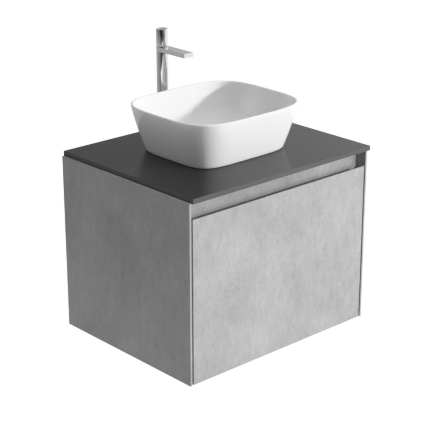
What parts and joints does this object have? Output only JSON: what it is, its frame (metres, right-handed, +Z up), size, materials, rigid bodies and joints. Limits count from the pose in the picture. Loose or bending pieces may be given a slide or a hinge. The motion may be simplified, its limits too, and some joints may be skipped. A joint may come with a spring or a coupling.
{
  "type": "vessel sink on vanity",
  "caption": "Wall-hung bathroom vanity with a handleless concrete-effect drawer, thin dark worktop, white vessel basin and tall slim chrome mixer tap.",
  "frame": {"origin": "centre of the four wall screws, on the wall's plane, 417 mm above the carcass's underside", "axes": "+X to the right seen from the front, +Y into the wall, -Y out of the drawer's front, +Z up"},
  "size_m": [0.602, 0.487, 0.7435],
  "materials": {
    "concrete_laminate": "concrete-effect laminate on board, matt",
    "grey_board": "melamine-faced board, matt",
    "dark_worktop": "smooth satin",
    "glazed_ceramic": "gloss white glaze",
    "chrome": "polished",
    "plated_steel": "bright zinc plated",
    "zinc": "die cast",
    "brass": "turned",
    "copper": "drawn copper tube",
    "rubber": "matt black",
    "white_plastic": "moulded, gloss",
    "grey_plastic": "moulded, matt",
    "dowel_wood": "fluted beech"
  },
  "bodies": {
    "cabinet": {"side_panel_left": "concrete_laminate", "side_panel_right": "concrete_laminate", "bottom_panel": "grey_board", "fascia_rail": "concrete_laminate", "top_front_rail": "grey_board", "top_rear_rail": "grey_board", "back_rail_lower": "grey_board", "back_rail_upper": "grey_board", "cam_locks": "zinc", "cam_bolts": "plated_steel", "dowels": "dowel_wood", "worktop": "dark_worktop", "drawer_bumpers": "rubber", "wall_plate_right": "plated_steel", "wall_plate_left": "plated_steel", "hanger_bracket_right": "plated_steel", "hanger_bracket_left": "plated_steel", "cabinet_screws": "plated_steel", "runner_cabinet_right": "plated_steel", "runner_cabinet_left": "plated_steel", "basin": "glazed_ceramic", "basin_foot_seal": "rubber", "waste_body": "chrome", "waste_washer": "rubber", "waste_backnut": "brass", "trap_coupling_nut": "white_plastic", "trap_coupling_seal": "rubber", "trap_inlet_tube": "white_plastic", "trap_inlet_nut": "white_plastic", "trap_body": "white_plastic", "trap_cup": "white_plastic", "trap_outlet_nut": "white_plastic", "trap_outlet_pipe": "white_plastic", "tap_body": "chrome", "tap_aerator": "grey_plastic", "tap_base_ring": "chrome", "tap_seals": "rubber", "tap_shank": "brass", "tap_inlet_tails": "copper", "tap_washer": "plated_steel", "tap_backnut": "brass", "cartridge_body": "grey_plastic", "cartridge_nut": "chrome"},
    "drawer": {"drawer_front": "concrete_laminate", "drawer_side_right": "grey_board", "drawer_side_left": "grey_board", "drawer_back_right": "grey_board", "drawer_back_left": "grey_board", "drawer_bottom": "grey_board", "drawer_shroud": "grey_plastic", "front_brackets": "plated_steel", "drawer_screws": "plated_steel", "runner_drawer_right": "plated_steel", "runner_drawer_left": "plated_steel"},
    "middle_right": {"runner_middle_right": "plated_steel"},
    "middle_left": {"runner_middle_left": "plated_steel"},
    "handle": {"tap_handle": "chrome", "cartridge_stem": "brass", "handle_grub_screw": "plated_steel"},
    "cap": {"waste_cap": "chrome"}
  },
  "joints": [
    {"name": "drawer_slide", "type": "slide", "parent": "cabinet", "child": "drawer", "axis": [0, -1, 0], "range_m": [0, 0.38]},
    {"name": "middle_right_slide", "type": "slide", "parent": "cabinet", "child": "middle_right", "axis": [0, -1, 0], "range_m": [0, 0.19]},
    {"name": "middle_left_slide", "type": "slide", "parent": "cabinet", "child": "middle_left", "axis": [0, -1, 0], "range_m": [0, 0.19]},
    {"name": "handle_turn", "type": "hinge", "parent": "cabinet", "child": "handle", "pos_m": [0, -0.0365, 0.2955], "axis": [0, 0, 1], "range_deg": [0, 110]},
    {"name": "waste_cap_press", "type": "slide", "parent": "cabinet", "child": "cap", "axis": [0, 0, -1], "range_m": [0, 0.0055], "stiffness_N_per_m": 300, "springref_m": -0.015}
  ],
  "couplings": [
    {"joint": "middle_right_slide", "follows": "drawer_slide", "ratio": 0.5},
    {"joint": "middle_left_slide", "follows": "drawer_slide", "ratio": 0.5}
  ]
}
